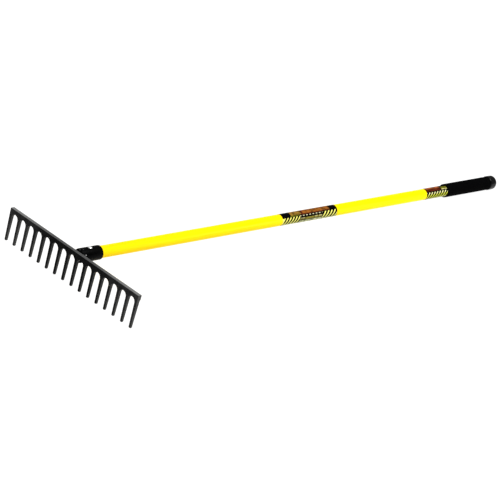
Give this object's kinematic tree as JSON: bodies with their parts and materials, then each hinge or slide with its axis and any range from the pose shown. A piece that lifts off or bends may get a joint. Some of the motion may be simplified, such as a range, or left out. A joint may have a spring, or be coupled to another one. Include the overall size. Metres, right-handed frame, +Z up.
{
  "type": "level-head garden rake",
  "caption": "Level-head garden rake: a straight forged bar with a row of short straight tines on a long yellow fibreglass handle with a black cushion grip.",
  "frame": {"origin": "centre of the bounding box on the floor that the rake lies on, tines down and the butt cap on the floor", "axes": "+X along the handle from the head to the butt, level with the floor; +Y along the bar, to the left when facing along +X; +Z up from the floor"},
  "size_m": [1.5369, 0.4308, 0.0824],
  "materials": {
    "black_steel": "black paint with a low sheen on a forged surface",
    "tang_steel": "black paint, bare inside the ferrule",
    "ferrule_paint": "glossy black paint on drawn steel",
    "rivet_steel": "bright steel",
    "yellow_fibreglass": "glossy resin over glass fibre",
    "hardwood": "plain turned hardwood",
    "printed_film": "printed plastic film, black with yellow stripes and an orange panel, no lettering",
    "grip_foam": "matt cushion foam",
    "cap_plastic": "moulded plastic with a soft gloss"
  },
  "bodies": {
    "root": {"rake_head": "black_steel", "tang": "tang_steel", "weld_bead": "black_steel", "ferrule": "ferrule_paint", "ferrule_rivet": "rivet_steel", "handle_tube": "yellow_fibreglass", "tang_plug": "hardwood", "middle_wrap": "printed_film", "upper_wrap": "printed_film", "grip_sleeve": "grip_foam", "butt_cap": "cap_plastic"}
  },
  "joints": []
}
